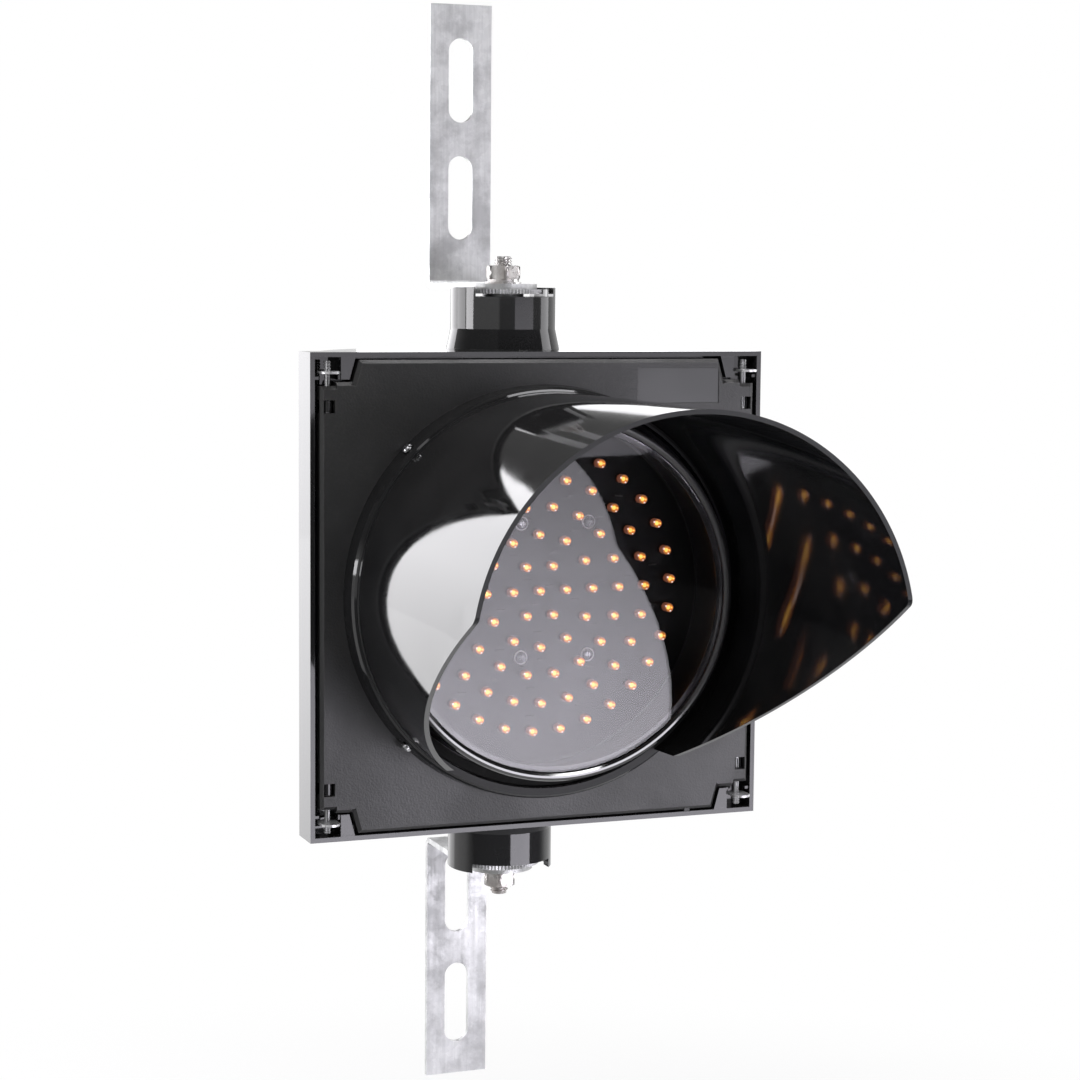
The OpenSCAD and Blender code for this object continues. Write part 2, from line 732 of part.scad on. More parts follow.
module unit_clips() {
    color([0.75, 0.76, 0.78]) at_door() around([45, 135, 225, 315])
        translate([clip_r, door_t + flange_t, 0]) rotate([-90, 0, 0]) difference() {
            union() {
                cylinder(r = clip_w / 2, h = clip_t, $fn = 48);
                translate([-clip_len + clip_w / 2, -clip_w / 2, 0])
                    cube([clip_len - clip_w / 2, clip_w, clip_t]);
            }
            translate([0, 0, -1]) cylinder(r = screw_r + 0.2, h = clip_t + 2, $fn = 32);
        }
}

module clip_screws() {
    color([0.8, 0.8, 0.82]) at_door() around([45, 135, 225, 315])
        translate([clip_r, door_t + flange_t + clip_t, 0]) rotate([-90, 0, 0])
            pan_screw(clip_t + flange_t - 0.6);
}

module slot_cut(z) {
    for (s = [-1, 1]) translate([0, 0, z + s * (slot_len - slot_w) / 2])
        rotate([-90, 0, 0]) cylinder(r = slot_w / 2, h = 20, center = true, $fn = 64);
    translate([-slot_w / 2, -10, z - (slot_len - slot_w) / 2])
        cube([slot_w, 20, slot_len - slot_w]);
}

// Angle bracket: plate round the bolt and a slotted leg flat on the wall
module bracket(leg) {
    ro = bend_r + bracket_t;
    end_z = plate_z + leg;
    difference() {
        union() {
            translate([0, axis_to_front, plate_z]) cylinder(r = bracket_w / 2, h = bracket_t);
            translate([-bracket_w / 2, axis_to_front, plate_z])
                cube([bracket_w, axis_to_wall - ro, bracket_t]);
            translate([-bracket_w / 2, reach - bracket_t, plate_z + ro])
                cube([bracket_w, bracket_t, leg - ro]);
            translate([0, reach - ro, plate_z + ro]) rotate([0, 90, 0]) difference() {
                cylinder(r = ro, h = bracket_w, center = true);
                cylinder(r = bend_r, h = bracket_w + 2, center = true);
                translate([-ro - 1, -ro - 1, -bracket_w]) cube([ro + 1, 2 * ro + 2, 2 * bracket_w]);
                translate([-1, -ro - 1, -bracket_w]) cube([ro + 2, ro + 1, 2 * bracket_w]);
            }
        }
        translate([0, axis_to_front, plate_z - 1])
            cylinder(r = bolt_r + 0.5, h = bracket_t + 2, $fn = 64);
        translate([0, reach, 0]) for (i = [0, 1])
            slot_cut(end_z - slot_margin - slot_len / 2 - i * slot_pitch);
    }
}

module upper_bracket() {
    color([0.78, 0.79, 0.8]) at_front() bracket(upper_leg);
}

module lower_bracket() {
    color([0.78, 0.79, 0.8]) at_front() mirror([0, 0, 1]) bracket(lower_leg);
}

// Hub on the neck floor with a toothed plate that keys the bracket to the neck
module lock_discs() {
    n = disc_teeth * 2;
    color([0.72, 0.73, 0.74]) at_front() translate([0, axis_to_front, 0]) top_and_bottom()
        translate([0, 0, floor_z]) difference() {
            union() {
                cylinder(r = hub_r, h = hub_h + eps, $fn = 64);
                translate([0, 0, hub_h]) linear_extrude(disc_h) polygon([for (i = [0:n - 1])
                    let (r = disc_r - (i % 2) * 0.6) [r * cos(i * 360 / n), r * sin(i * 360 / n)]]);
            }
            translate([0, 0, -1]) cylinder(r = bolt_r + 0.3, h = hub_h + disc_h + 2, $fn = 64);
        }
}

module swivel_bolts() {
    low = floor_z - neck_floor;
    top = plate_z + bracket_t + plate_washer + nut_h + thread_end;
    color([0.8, 0.79, 0.78]) at_front() translate([0, axis_to_front, 0]) top_and_bottom() {
        translate([0, 0, low - 6.4]) cylinder(r = hex_r, h = 6.4, $fn = 6);
        translate([0, 0, low - eps]) cylinder(r = bolt_r, h = top - low - 1 + eps, $fn = 64);
        translate([0, 0, top - 1]) cylinder(r1 = bolt_r, r2 = bolt_r - 0.9, h = 1, $fn = 64);
    }
}

module washer(outer, inner, thick) {
    difference() {
        cylinder(r = outer, h = thick, $fn = 64);
        translate([0, 0, -1]) cylinder(r = inner, h = thick + 2, $fn = 64);
    }
}

module plate_washers() {
    color([0.82, 0.82, 0.83]) at_front() translate([0, axis_to_front, 0]) {
        translate([0, 0, plate_z + bracket_t]) washer(bolt_r * 2, bolt_r + 0.3, 1);
        mirror([0, 0, 1]) translate([0, 0, plate_z + bracket_t])
            washer(bolt_r * 2, bolt_r + 0.3, plate_washer);
    }
}

module spring_washer() {
    color([0.7, 0.7, 0.72]) at_front()
        translate([0, axis_to_front, plate_z + bracket_t + 1]) difference() {
            washer(bolt_r + 3.6, bolt_r + 0.2, plate_washer - 1);
            rotate([0, 0, -35]) translate([0, -0.6, -1]) cube([20, 1.2, plate_washer + 2]);
        }
}

module swivel_nuts() {
    color([0.8, 0.78, 0.77]) at_front() translate([0, axis_to_front, 0]) top_and_bottom()
        translate([0, 0, plate_z + bracket_t + plate_washer]) difference() {
            intersection() {
                cylinder(r = hex_r, h = nut_h, $fn = 6);
                rotate_extrude($fn = 64) polygon([[0, 0], [nut_af / 2, 0], [hex_r, (hex_r - nut_af / 2) * 0.6],
                    [hex_r, nut_h - (hex_r - nut_af / 2) * 0.6], [nut_af / 2, nut_h], [0, nut_h]]);
            }
            translate([0, 0, -1]) cylinder(r = bolt_r + eps, h = nut_h + 2, $fn = 64);
        }
}

housing_shell();
upper_neck();
lower_neck();
door_seal();
hinge_pins();
terminal_block();
terminal_screws();
door();
visor();
visor_screws();
latch_pins();
lens();
lens_gasket();
unit_shell();
lamp_board();
diodes();
board_screws();
unit_clips();
clip_screws();
upper_bracket();
lower_bracket();
lock_discs();
swivel_bolts();
plate_washers();
spring_washer();
swivel_nuts();
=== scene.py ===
import math
import bpy
import bmesh
from mathutils import Matrix, Vector


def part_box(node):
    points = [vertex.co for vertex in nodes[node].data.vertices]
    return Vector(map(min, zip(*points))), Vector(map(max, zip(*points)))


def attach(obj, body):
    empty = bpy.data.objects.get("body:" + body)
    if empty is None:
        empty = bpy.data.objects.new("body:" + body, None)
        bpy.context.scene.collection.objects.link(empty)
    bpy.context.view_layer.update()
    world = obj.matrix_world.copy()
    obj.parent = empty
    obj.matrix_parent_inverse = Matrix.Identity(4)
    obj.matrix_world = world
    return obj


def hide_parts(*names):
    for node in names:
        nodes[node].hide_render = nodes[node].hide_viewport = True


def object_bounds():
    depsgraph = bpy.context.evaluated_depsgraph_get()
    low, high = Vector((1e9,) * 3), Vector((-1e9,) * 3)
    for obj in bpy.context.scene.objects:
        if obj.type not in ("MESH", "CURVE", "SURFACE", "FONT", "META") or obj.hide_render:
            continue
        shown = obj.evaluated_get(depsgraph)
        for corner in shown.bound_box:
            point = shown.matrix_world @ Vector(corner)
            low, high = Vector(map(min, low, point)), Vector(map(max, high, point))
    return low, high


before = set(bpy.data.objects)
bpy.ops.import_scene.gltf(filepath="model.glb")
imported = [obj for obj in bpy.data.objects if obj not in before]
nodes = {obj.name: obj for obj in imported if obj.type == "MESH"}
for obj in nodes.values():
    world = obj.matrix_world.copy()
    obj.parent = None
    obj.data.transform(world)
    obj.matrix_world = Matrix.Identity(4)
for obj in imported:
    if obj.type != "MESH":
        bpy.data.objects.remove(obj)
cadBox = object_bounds()
scene = bpy.context.scene
print("packed frame loaded with", len(nodes), "nodes")

# places on the solids, in metres
lensHeight = -0.00875  # middle of the lens
swivelY = -0.075  # line of the two swivel bolts
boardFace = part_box("lamp_board")[0].y


def add(tree, kind, fields=None, values=None):
    node = tree.nodes.new("ShaderNode" + kind)
    for field, value in (fields or {}).items():
        setattr(node, field, value)
    for label, value in (values or {}).items():
        socket = node.inputs[label]
        if isinstance(value, bpy.types.NodeSocket):
            tree.links.new(value, socket)
        else:
            socket.default_value = value
    return node


# a maths node whose result stays between 0 and 1
def calc(tree, operation, a, b=0.0):
    return add(tree, "Math", {"operation": operation, "use_clamp": True}, {0: a, 1: b}).outputs[0]


# goes smoothly from first to last while the value goes from low to high
def spread(tree, value, low, high, first=0.0, last=1.0):
    values = {"Value": value, "From Min": low, "From Max": high, "To Min": first, "To Max": last}
    return add(tree, "MapRange", {"interpolation_type": "SMOOTHSTEP"}, values).outputs["Result"]


def tint(tree, factor, a, b):
    return add(tree, "Mix", {"data_type": "RGBA"}, {0: factor, 6: a, 7: b}).outputs[2]


# roughness with more of it where the mask is
def duller(tree, rough, mask, amount):
    return calc(tree, "ADD", rough, calc(tree, "MULTIPLY", mask, amount))


def rgba(colour):
    return (*colour, 1.0)


# the point on the object, or its place along one axis
def whereOn(tree, axis=None):
    coords = add(tree, "TexCoord").outputs["Object"]
    return coords if axis is None else add(tree, "SeparateXYZ", None, {0: coords}).outputs[axis]


# how far the face turns toward one axis
def facingOf(tree, axis):
    return add(tree, "SeparateXYZ", None, {0: add(tree, "TexCoord").outputs["Normal"]}).outputs[axis]


def noiseAt(tree, coords, scale, detail, rough=0.5):
    values = {"Vector": coords, "Scale": scale, "Detail": detail, "Roughness": rough}
    return add(tree, "TexNoise", None, values).outputs["Fac"]


def newGroup(name, inputs, outputs):
    group = bpy.data.node_groups.new(name, "ShaderNodeTree")
    sockets = group.interface
    for label, default in inputs.items():
        sockets.new_socket(label, in_out="INPUT", socket_type="NodeSocketFloat").default_value = default
    for label in outputs:
        sockets.new_socket(label, in_out="OUTPUT", socket_type="NodeSocketFloat")
    return group, group.nodes.new("NodeGroupInput").outputs, group.nodes.new("NodeGroupOutput").inputs


def place(tree, group, values):
    node = tree.nodes.new("ShaderNodeGroup")
    node.node_tree = group
    for label, value in values.items():
        node.inputs[label].default_value = value
    return node.outputs


# rubbed edges: where a rounded normal leaves the real one, broken up by noise
def makeEdgeWear():
    group, given, out = newGroup("edgeWear", {"Radius": 0.0008, "Breakup": 90.0, "Amount": 1.0}, ["Mask"])
    rounded = add(group, "Bevel", {"samples": 4}, {"Radius": given["Radius"]}).outputs[0]
    real = add(group, "NewGeometry").outputs["Normal"]
    dot = add(group, "VectorMath", {"operation": "DOT_PRODUCT"}, {0: rounded, 1: real}).outputs["Value"]
    edge = spread(group, dot, 0.99, 0.86)
    patches = spread(group, noiseAt(group, whereOn(group), given["Breakup"], 3.0), 0.36, 0.62)
    worn = calc(group, "MULTIPLY", calc(group, "MULTIPLY", edge, patches), given["Amount"])
    group.links.new(worn, out["Mask"])
    return group


# dust: settles on what faces up and in soft clouds elsewhere
def makeDustFilm():
    group, given, out = newGroup("dustFilm", {"Settled": 0.5, "Clouds": 0.2, "Scale": 14.0}, ["Mask"])
    up = add(group, "SeparateXYZ", None, {0: add(group, "NewGeometry").outputs["Normal"]}).outputs["Z"]
    settled = calc(group, "MULTIPLY", spread(group, up, 0.1, 0.95), given["Settled"])
    coords = whereOn(group)
    soft = spread(group, noiseAt(group, coords, given["Scale"], 5.0, 0.6), 0.4, 0.7)
    specks = spread(group, noiseAt(group, coords, 700.0, 2.0), 0.45, 0.7, 0.5, 1.0)
    both = calc(group, "ADD", settled, calc(group, "MULTIPLY", soft, given["Clouds"]))
    group.links.new(calc(group, "MULTIPLY", both, specks), out["Mask"])
    return group


# long fine scratches, in two crossing directions
def makeScuffs():
    group, given, out = newGroup("scuffs", {"Scale": 60.0, "Amount": 0.5}, ["Mask"])
    coords = whereOn(group)
    lines = []
    for turn, stretch in (((0.3, 0.7, 0.2), (1.0, 14.0, 1.0)), ((1.1, -0.4, 0.9), (12.0, 1.0, 1.0))):
        values = {"Vector": coords, "Rotation": turn, "Scale": stretch}
        mapped = add(group, "Mapping", None, values).outputs[0]
        lines.append(spread(group, noiseAt(group, mapped, given["Scale"], 4.0, 0.7), 0.64, 0.72))
    found = calc(group, "MAXIMUM", *lines)
    group.links.new(calc(group, "MULTIPLY", found, given["Amount"]), out["Mask"])
    return group


# grain of a moulded face: fine pebbles over a slow wave, and soft clouds for its colour
def makeMouldGrain():
    settings = {"Pebbles": 1800.0, "Wave": 40.0, "Waviness": 0.3}
    group, given, out = newGroup("mouldGrain", settings, ["Height", "Clouds"])
    coords = whereOn(group)
    fine = calc(group, "MULTIPLY", noiseAt(group, coords, given["Pebbles"], 2.0), 0.5)
    slow = calc(group, "MULTIPLY", noiseAt(group, coords, given["Wave"], 1.0), given["Waviness"])
    group.links.new(calc(group, "ADD", fine, slow), out["Height"])
    group.links.new(spread(group, noiseAt(group, coords, 22.0, 4.0), 0.35, 0.65), out["Clouds"])
    return group


# zinc flowers of a dipped steel plate, with its blotches and drawn streaks
def makeSpangle():
    masks = ["Flowers", "Blotches", "Streaks", "Height"]
    group, given, out = newGroup("spangle", {"Scale": 150.0, "Runs": 30.0}, masks)
    coords = whereOn(group)
    bent = add(group, "TexNoise", None, {"Vector": coords, "Scale": 90.0, "Detail": 2.0}).outputs["Color"]
    moved = add(group, "Mix", {"data_type": "VECTOR"}, {0: 0.012, 4: coords, 5: bent}).outputs[1]
    cell = add(group, "TexVoronoi", None, {"Vector": moved, "Scale": given["Scale"]})
    shade = add(group, "SeparateColor", None, {0: cell.outputs["Color"]}).outputs[0]
    grit = noiseAt(group, coords, 900.0, 2.0)
    height = calc(group, "ADD", calc(group, "MULTIPLY", shade, 0.25), calc(group, "MULTIPLY", grit, 0.4))
    drawn = add(group, "Mapping", None, {"Vector": coords, "Scale": (1.0, 1.0, 0.05)}).outputs[0]
    blot = noiseAt(group, coords, given["Runs"], 6.0, 0.65)
    line = noiseAt(group, drawn, 520.0, 4.0, 0.6)
    group.links.new(shade, out["Flowers"])
    group.links.new(spread(group, blot, 0.38, 0.66), out["Blotches"])
    group.links.new(spread(group, line, 0.35, 0.66), out["Streaks"])
    group.links.new(height, out["Height"])
    return group


edgeWear = makeEdgeWear()
dustFilm = makeDustFilm()
scuffs = makeScuffs()
mouldGrain = makeMouldGrain()
spangle = makeSpangle()


def newMaterial(name):
    material = bpy.data.materials.new(name)
    material.use_nodes = True
    tree = material.node_tree
    return material, tree, tree.nodes["Principled BSDF"]


def setShader(shader, values):
    for label, value in values.items():
        shader.inputs[label].default_value = value


def linkSurface(tree, shader, look, colour, rough, height):
    tree.links.new(colour, shader.inputs["Base Color"])
    tree.links.new(rough, shader.inputs["Roughness"])
    values = {"Strength": look["bump"], "Distance": look["bumpDepth"], "Height": height}
    tree.links.new(add(tree, "Bump", None, values).outputs[0], shader.inputs["Normal"])


def edgeMask(tree, look):
    values = {"Radius": look["edgeRadius"], "Breakup": look["edgeBreakup"], "Amount": look["edge"]}
    return place(tree, edgeWear, values)["Mask"]


def scuffMask(tree, look):
    return place(tree, scuffs, {"Scale": look["scuffScale"], "Amount": look["scuff"]})["Mask"]


# moulded plastic or rubber: base colour, clouds, worn edges, dust, scratches, grain
def mouldedFinish(name, look, field=None, spigot=None, cutEdge=None, wiped=None):
    material, tree, shader = newMaterial(name)
    values = {"Pebbles": look["pebbles"], "Wave": look["wave"], "Waviness": look["waviness"]}
    grain = place(tree, mouldGrain, values)
    wear, marks = edgeMask(tree, look), scuffMask(tree, look)
    dust = place(tree, dustFilm, {"Settled": look["dust"], "Clouds": look["dustClouds"]})["Mask"]
    colour = tint(tree, grain["Clouds"], rgba(look["colour"]), rgba(look["second"]))
    colour = tint(tree, wear, colour, rgba(look["worn"]))
    colour = tint(tree, marks, colour, rgba(look["worn"]))
    colour = tint(tree, dust, colour, rgba(look["dustColour"]))
    rough = spread(tree, grain["Clouds"], 0.0, 1.0, *look["roughness"])
    rough = duller(tree, rough, calc(tree, "MAXIMUM", wear, dust), look["wornRough"])
    rough = duller(tree, rough, marks, look["scuffRough"])
    height = grain["Height"]
    if field:  # a bare smooth rectangle on the panel
        inside = 1.0
        for axis, low, high in (("X", field["left"], field["right"]), ("Z", field["bottom"], field["top"])):
            along = whereOn(tree, axis)
            inside = calc(tree, "MULTIPLY", inside, calc(tree, "GREATER_THAN", along, low))
            inside = calc(tree, "MULTIPLY", inside, calc(tree, "LESS_THAN", along, high))
        colour = tint(tree, inside, colour, rgba(field["colour"]))
        rough = calc(tree, "SUBTRACT", rough, calc(tree, "MULTIPLY", inside, field["smoother"]))
        flat = calc(tree, "SUBTRACT", 1.0, calc(tree, "MULTIPLY", inside, field["flatter"]))
        height = calc(tree, "MULTIPLY", height, flat)
    if cutEdge:  # the trimmed front edge, duller than the moulded faces
        trimmed = calc(tree, "MULTIPLY", spread(tree, facingOf(tree, "Y"), *cutEdge["turned"]),
                       calc(tree, "LESS_THAN", whereOn(tree, "Y"), cutEdge["front"]))
        rough = duller(tree, rough, trimmed, cutEdge["duller"])
    if wiped:  # the lowest part is wiped clean, the rest is duller
        dry = spread(tree, whereOn(tree, "Z"), wiped["low"], wiped["high"])
        rough = duller(tree, rough, dry, wiped["duller"])
    if spigot:  # the matt black ring that the lens sits in
        centred = add(tree, "Mapping", None, {"Vector": whereOn(tree), "Location": (0.0, 0.0, -lensHeight),
                                              "Scale": (1.0, 0.0, 1.0)}).outputs[0]
        reach = add(tree, "VectorMath", {"operation": "LENGTH"}, {0: centred}).outputs["Value"]
        ring = calc(tree, "MULTIPLY", calc(tree, "LESS_THAN", reach, spigot["radius"]),
                    calc(tree, "LESS_THAN", whereOn(tree, "Y"), spigot["front"]))
        colour = tint(tree, ring, colour, rgba(spigot["colour"]))
        rough = duller(tree, rough, ring, spigot["duller"])
    linkSurface(tree, shader, look, colour, rough, height)
    setShader(shader, look["shader"])
    return material


# steel: zinc flowers, dull blotches, drawn streaks, rubbed edges and scratches
def steelFinish(name, look, shadedBackSide=None):
    material, tree, shader = newMaterial(name)
    zinc = place(tree, spangle, {"Scale": look["flowers"], "Runs": look["runs"]})
    worn = calc(tree, "MAXIMUM", edgeMask(tree, look), scuffMask(tree, look))
    colour = tint(tree, zinc["Flowers"], rgba(look["colour"]), rgba(look["second"]))
    colour = tint(tree, zinc["Blotches"], colour, rgba(look["dull"]))
    colour = tint(tree, calc(tree, "MULTIPLY", zinc["Streaks"], look["streaks"]), colour, rgba(look["drawn"]))
    colour = tint(tree, worn, colour, rgba(look["worn"]))
    rough = spread(tree, zinc["Flowers"], 0.0, 1.0, *look["roughness"])
    rough = duller(tree, rough, zinc["Blotches"], look["dulling"])
    rough = duller(tree, rough, zinc["Streaks"], look["streakRough"] * look["streaks"])
    if shadedBackSide:  # painted shade: the face that lies toward the wall is darker and duller, with less metal, to hold down its lamp reflection
        dulled = spread(tree, facingOf(tree, "Y"), *shadedBackSide["turned"])
        backShade = tint(tree, zinc["Blotches"], rgba(shadedBackSide["colour"]), rgba(shadedBackSide["second"]))
        colour = tint(tree, dulled, colour, backShade)
        rough = duller(tree, rough, dulled, shadedBackSide["duller"])
        metal = calc(tree, "SUBTRACT", 1.0, calc(tree, "MULTIPLY", dulled, shadedBackSide["backShade"]))
        tree.links.new(metal, shader.inputs["Metallic"])
    linkSurface(tree, shader, look, colour, rough, zinc["Height"])
    setShader(shader, look["shader"])
    return material


def dress(material, *names):
    for name in names:
        for holder in nodes[name].material_slots:
            holder.material = material


# plastics and rubber
glossBlack = {"colour": (0.011, 0.011, 0.012), "second": (0.016, 0.016, 0.017), "worn": (0.07, 0.07, 0.072),
              "pebbles": 900.0, "wave": 45.0, "waviness": 0.6, "bump": 0.06, "bumpDepth": 0.0004,
              "edgeRadius": 0.0009, "edgeBreakup": 70.0, "edge": 0.5, "wornRough": 0.35,
              "dust": 0.1, "dustClouds": 0.02, "dustColour": (0.3, 0.285, 0.26),
              "scuff": 0.1, "scuffScale": 26.0, "scuffRough": 0.2,
              "roughness": (0.13, 0.2), "shader": {"IOR": 1.5}}
housingLook = dict(glossBlack, colour=(0.013, 0.013, 0.014), roughness=(0.04, 0.08), bump=0.02,
                   shader={"IOR": 1.55})
visorLook = dict(glossBlack, colour=(0.009, 0.009, 0.01), roughness=(0.03, 0.06), bump=0.03,
                 dust=0.04, dustClouds=0.0, edgeRadius=0.0004, edge=0.3)
doorLook = dict(glossBlack, colour=(0.017, 0.017, 0.018), second=(0.024, 0.024, 0.025), worn=(0.1, 0.1, 0.1),
                wave=260.0, waviness=0.35, bump=0.5, bumpDepth=0.0006, roughness=(0.4, 0.48),
                edge=0.9, dust=0.12, dustClouds=0.05, scuff=0.08, shader={"IOR": 1.62})
unitLook = dict(doorLook, colour=(0.016, 0.016, 0.017), roughness=(0.3, 0.42), bump=0.2)
sealLook = dict(glossBlack, colour=(0.008, 0.008, 0.008), second=(0.013, 0.013, 0.013),
                worn=(0.04, 0.04, 0.04), pebbles=2400.0, roughness=(0.12, 0.2), edge=0.2,
                dust=0.02, dustClouds=0.0)
gasketLook = dict(sealLook, roughness=(0.05, 0.08), bump=0.02, edge=0.0, shader={"IOR": 2.3})
terminalLook = dict(doorLook, colour=(0.55, 0.53, 0.47), second=(0.6, 0.57, 0.5), worn=(0.7, 0.68, 0.62),
                    roughness=(0.4, 0.5), bump=0.1)
boardLook = dict(doorLook, colour=(0.0035, 0.0035, 0.004), second=(0.006, 0.006, 0.007),
                 worn=(0.06, 0.05, 0.03), roughness=(0.3, 0.4), bump=0.15, pebbles=2600.0,
                 dust=0.02, dustClouds=0.01, scuff=0.03, shader={"IOR": 1.3})
hoodEdge = {"front": -0.14, "turned": (-0.95, -0.99), "duller": 0.5}
bareField = {"left": 0.0538, "right": 0.1015, "bottom": 0.091, "top": 0.1101,
             "colour": (0.04, 0.04, 0.042), "smoother": 0.1, "flatter": 0.85}
lensRing = {"radius": 0.1185, "front": -0.1415, "colour": (0.003, 0.003, 0.003), "duller": 0.5}
wetPart = {"low": -0.085, "high": -0.06, "duller": 0.4}

dress(mouldedFinish("housingGloss", housingLook), "housing_shell", "upper_neck", "lower_neck")
dress(mouldedFinish("visorGloss", visorLook, cutEdge=hoodEdge), "visor")
dress(mouldedFinish("doorGrain", doorLook, field=bareField, spigot=lensRing), "door")
dress(mouldedFinish("unitSatin", unitLook), "unit_shell")
dress(mouldedFinish("sealRubber", sealLook), "door_seal")
dress(mouldedFinish("gasketGloss", gasketLook, wiped=wetPart), "lens_gasket")
dress(mouldedFinish("terminalCream", terminalLook), "terminal_block")
dress(mouldedFinish("boardMask", boardLook), "lamp_board")

# steels
zincDipped = {"colour": (0.67, 0.674, 0.672), "second": (0.78, 0.784, 0.782), "dull": (0.5, 0.503, 0.505),
              "worn": (0.88, 0.88, 0.88), "drawn": (0.42, 0.423, 0.424), "streaks": 0.22, "streakRough": 0.3,
              "flowers": 260.0, "runs": 45.0, "edgeRadius": 0.0007, "edgeBreakup": 120.0, "edge": 0.8,
              "scuff": 0.3, "scuffScale": 30.0, "roughness": (0.36, 0.46), "dulling": 0.1,
              "bump": 0.3, "bumpDepth": 0.0002, "shader": {"Metallic": 1.0}}
discLook = dict(zincDipped, flowers=300.0, roughness=(0.36, 0.48), colour=(0.58, 0.58, 0.6), streaks=0.25)
plated = dict(zincDipped, colour=(0.7, 0.675, 0.66), second=(0.8, 0.78, 0.77), dull=(0.5, 0.46, 0.44),
              flowers=420.0, runs=70.0, roughness=(0.2, 0.3), dulling=0.16, bump=0.12, edgeRadius=0.0004,
              streaks=0.15)
screwLook = dict(plated, colour=(0.7, 0.7, 0.72), second=(0.8, 0.8, 0.82), dull=(0.6, 0.6, 0.61),
                 roughness=(0.14, 0.22), dulling=0.06, bump=0.05)
pinLook = dict(screwLook, colour=(0.76, 0.76, 0.77), second=(0.86, 0.86, 0.87), roughness=(0.2, 0.32),
               streaks=0.2, shader={"Metallic": 0.6})
ringLook = dict(screwLook, colour=(0.07, 0.07, 0.075), second=(0.12, 0.12, 0.125), dull=(0.05, 0.05, 0.05),
                worn=(0.95, 0.95, 0.96), edgeRadius=0.0009, edge=1.0, roughness=(0.28, 0.36))
clipLook = dict(zincDipped, flowers=300.0, roughness=(0.26, 0.36), dulling=0.08, bump=0.1)
# the face toward the wall: its painted shade colours, how much duller it is and the share of metal taken away
shadedBackFace = {"turned": (0.9, 0.97), "colour": (0.4, 0.41, 0.42), "second": (0.31, 0.32, 0.33),
            "duller": 0.3, "backShade": 0.7}

dress(steelFinish("galvanisedSteel", zincDipped, shadedBackFace), "upper_bracket", "lower_bracket")
dress(steelFinish("discSteel", discLook), "lock_discs")
boltSteel = steelFinish("boltSteel", plated)
dress(boltSteel, "swivel_bolts", "plate_washers", "spring_washer", "swivel_nuts")
dress(steelFinish("screwSteel", screwLook), "visor_screws", "clip_screws", "terminal_screws")
dress(steelFinish("darkScrewSteel", ringLook), "board_screws")
dress(steelFinish("pinSteel", pinLook), "hinge_pins", "latch_pins")
dress(steelFinish("clipSteel", clipLook), "unit_clips")

# diode domes: clear resin, amber at the root as a painted glow of the lit chip, and paler at the tip
glowTintedDomes = {"root": (0.9, 0.42, 0.2), "tip": (1.0, 0.94, 0.9), "tall": 0.0086, "roughness": (0.0, 0.05),
              "ior": 1.5}


def diodeFinish(look):
    material, tree, shader = newMaterial("diodeResinPaintedGlow")
    depth = spread(tree, whereOn(tree, "Y"), boardFace, boardFace - look["tall"])
    tree.links.new(tint(tree, depth, rgba(look["root"]), rgba(look["tip"])), shader.inputs["Base Color"])
    smear = noiseAt(tree, whereOn(tree), 500.0, 2.0)
    tree.links.new(spread(tree, smear, 0.3, 0.7, *look["roughness"]), shader.inputs["Roughness"])
    setShader(shader, {"Transmission Weight": 1.0, "IOR": look["ior"]})
    return material


dress(diodeFinish(glowTintedDomes), "diodes")
print("solids dressed")


def makePiece(name, bm, materials, body, angle=30.0):
    bmesh.ops.remove_doubles(bm, verts=bm.verts, dist=1e-7)
    mesh = bpy.data.meshes.new(name)
    bm.to_mesh(mesh)
    bm.free()
    for face in mesh.polygons:
        face.use_smooth = True
    mesh.set_sharp_from_angle(angle=math.radians(angle))
    piece = bpy.data.objects.new(name, mesh)
    scene.collection.objects.link(piece)
    for material in materials:
        mesh.materials.append(material)
    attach(piece, body)
    return piece


def facesOf(made):
    return {face for vert in made["verts"] for face in vert.link_faces}


def edgesOf(made):
    return list({edge for vert in made["verts"] for edge in vert.link_edges})


# a bulged clear disc, turned from one fine arc
lensForm = {"thick": 0.0025, "dome": 0.0025, "rings": 26, "steps": 120,
            "colour": (0.97, 0.955, 0.985), "dusty": (0.9, 0.9, 0.9), "ior": 1.45,
            "roughness": (0.005, 0.03), "streaks": 16.0, "smearTurn": (0.0, 0.6, 0.0),
            "smearStretch": (1.0, 1.0, 5.0), "ripple": 26.0, "bump": 0.03, "bumpDepth": 0.0005,
            "dust": {"Settled": 0.3, "Clouds": 0.1, "Scale": 30.0}}


# wiped smears in its roughness, a slow ripple of the moulding
def lensFinish(look):
    material, tree, shader = newMaterial("lensClear")
    coords = whereOn(tree)
    values = {"Vector": coords, "Rotation": look["smearTurn"], "Scale": look["smearStretch"]}
    smear = noiseAt(tree, add(tree, "Mapping", None, values).outputs[0], look["streaks"], 5.0, 0.6)
    rough = spread(tree, smear, 0.45, 0.75, *look["roughness"])
    dust = place(tree, dustFilm, look["dust"])["Mask"]
    colour = tint(tree, dust, rgba(look["colour"]), rgba(look["dusty"]))
    linkSurface(tree, shader, look, colour, rough, noiseAt(tree, coords, look["ripple"], 0.0))
    setShader(shader, {"Transmission Weight": 1.0, "IOR": look["ior"]})
    return material


